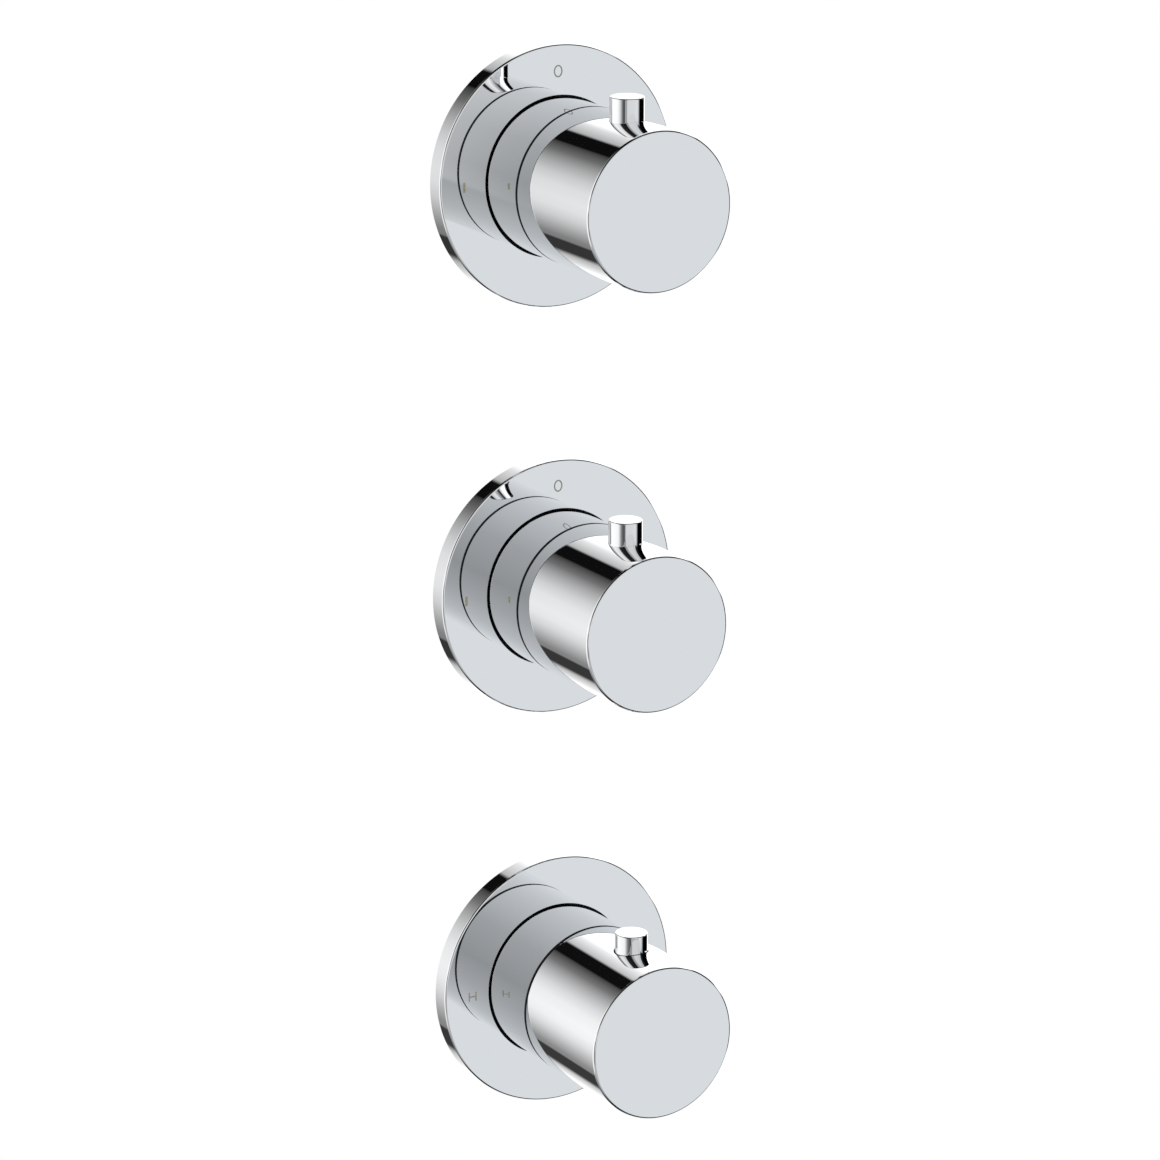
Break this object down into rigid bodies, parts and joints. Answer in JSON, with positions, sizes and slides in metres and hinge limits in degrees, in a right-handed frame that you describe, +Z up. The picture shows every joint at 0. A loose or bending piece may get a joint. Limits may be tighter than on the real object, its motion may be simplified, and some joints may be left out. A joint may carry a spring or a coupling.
{
  "type": "thermostatic shower valve",
  "caption": "Concealed shower mixer: separate round wall plates with cylindrical lever knobs in a vertical row, flow controls over a temperature control, on a brass body.",
  "frame": {"origin": "on the middle control's axis, at the finished wall surface (the back of its wall plate)", "axes": "+Y into the wall (the knobs stand out towards -Y), +X to the right as the user faces the wall, +Z up along the row of controls"},
  "size_m": [0.128, 0.1544, 0.3331],
  "materials": {
    "chrome_plated_brass": "mirror-bright chrome plate over turned brass",
    "turned_brass": "fine turned surface",
    "cast_brass": "fine sand-cast skin, machined at the mouths",
    "epdm_rubber": "smooth moulded black",
    "pe_foam": "closed-cell foam",
    "pom_plastic": "moulded, satin",
    "alumina_ceramic": "lapped",
    "stainless_steel": "drawn bright",
    "copper": "drawn copper capsule"
  },
  "bodies": {
    "root": {"check_housings": "pom_plastic", "cold_check_spring": "stainless_steel", "hot_check_spring": "stainless_steel", "middle_cartridge": "turned_brass", "middle_cartridge_ring": "epdm_rubber", "middle_disc_seal": "epdm_rubber", "middle_fixed_disc": "alumina_ceramic", "middle_grip_ring": "epdm_rubber", "middle_plate_seal": "pe_foam", "middle_sleeve": "chrome_plated_brass", "middle_sleeve_carrier": "pom_plastic", "middle_sleeve_ring": "epdm_rubber", "middle_wall_plate": "chrome_plated_brass", "thermo_cartridge": "turned_brass", "thermo_cartridge_nut": "turned_brass", "thermo_cartridge_rings": "epdm_rubber", "thermo_end_cap": "pom_plastic", "thermo_grip_ring": "epdm_rubber", "thermo_plate_seal": "pe_foam", "thermo_return_spring": "stainless_steel", "thermo_sleeve": "chrome_plated_brass", "thermo_sleeve_carrier": "pom_plastic", "thermo_sleeve_ring": "epdm_rubber", "thermo_stop_ring": "pom_plastic", "thermo_wall_plate": "chrome_plated_brass", "top_cartridge": "turned_brass", "top_cartridge_ring": "epdm_rubber", "top_disc_seal": "epdm_rubber", "top_fixed_disc": "alumina_ceramic", "top_grip_ring": "epdm_rubber", "top_plate_seal": "pe_foam", "top_sleeve": "chrome_plated_brass", "top_sleeve_carrier": "pom_plastic", "top_sleeve_ring": "epdm_rubber", "top_wall_plate": "chrome_plated_brass", "valve_body": "cast_brass"},
    "top_knob": {"top_knob": "chrome_plated_brass", "top_lever_pin": "chrome_plated_brass", "top_spline_adapter": "pom_plastic", "top_grub_screw": "stainless_steel", "top_spindle": "turned_brass", "top_moving_disc": "alumina_ceramic"},
    "middle_knob": {"middle_knob": "chrome_plated_brass", "middle_lever_pin": "chrome_plated_brass", "middle_spline_adapter": "pom_plastic", "middle_grub_screw": "stainless_steel", "middle_spindle": "turned_brass", "middle_moving_disc": "alumina_ceramic"},
    "thermo_knob": {"thermo_knob": "chrome_plated_brass", "thermo_spline_adapter": "pom_plastic", "thermo_grub_screw": "stainless_steel", "thermo_spindle": "turned_brass", "thermo_button_spring": "stainless_steel"},
    "stop_button": {"thermo_stop_button": "chrome_plated_brass", "thermo_stop_catch": "stainless_steel"},
    "thermo_slide": {"thermo_drive_nut": "turned_brass", "thermo_wax_element": "copper", "thermo_shuttle": "pom_plastic"},
    "hot_poppet": {"hot_check_poppet": "pom_plastic"},
    "cold_poppet": {"cold_check_poppet": "pom_plastic"}
  },
  "joints": [
    {"name": "top_flow_turn", "type": "hinge", "parent": "root", "child": "top_knob", "pos_m": [0, -0.04, 0.125], "axis": [0, -1, 0], "range_deg": [0, 90]},
    {"name": "middle_flow_turn", "type": "hinge", "parent": "root", "child": "middle_knob", "pos_m": [0, -0.04, 0], "axis": [0, -1, 0], "range_deg": [0, 90]},
    {"name": "thermostat_turn", "type": "hinge", "parent": "root", "child": "thermo_knob", "pos_m": [0, -0.04, -0.125], "axis": [0, -1, 0], "range_deg": [-90, 90]},
    {"name": "stop_button_push", "type": "slide", "parent": "thermo_knob", "child": "stop_button", "axis": [0, 0, -1], "range_m": [0, 0.002], "stiffness_N_per_m": 400, "springref_m": -0.003, "deforming": ["thermo_button_spring"]},
    {"name": "thermostat_shift", "type": "slide", "parent": "root", "child": "thermo_slide", "axis": [0, 1, 0], "range_m": [-0.0015, 0.0015], "deforming": ["thermo_return_spring"]},
    {"name": "hot_check_open", "type": "slide", "parent": "root", "child": "hot_poppet", "axis": [1, 0, 0], "range_m": [0, 0.003], "stiffness_N_per_m": 100, "springref_m": -0.002, "deforming": ["hot_check_spring"]},
    {"name": "cold_check_open", "type": "slide", "parent": "root", "child": "cold_poppet", "axis": [-1, 0, 0], "range_m": [0, 0.003], "stiffness_N_per_m": 100, "springref_m": -0.002, "deforming": ["cold_check_spring"]}
  ],
  "couplings": [
    {"joint": "thermostat_shift", "follows": "thermostat_turn", "m_per_rad": 0.00095}
  ]
}
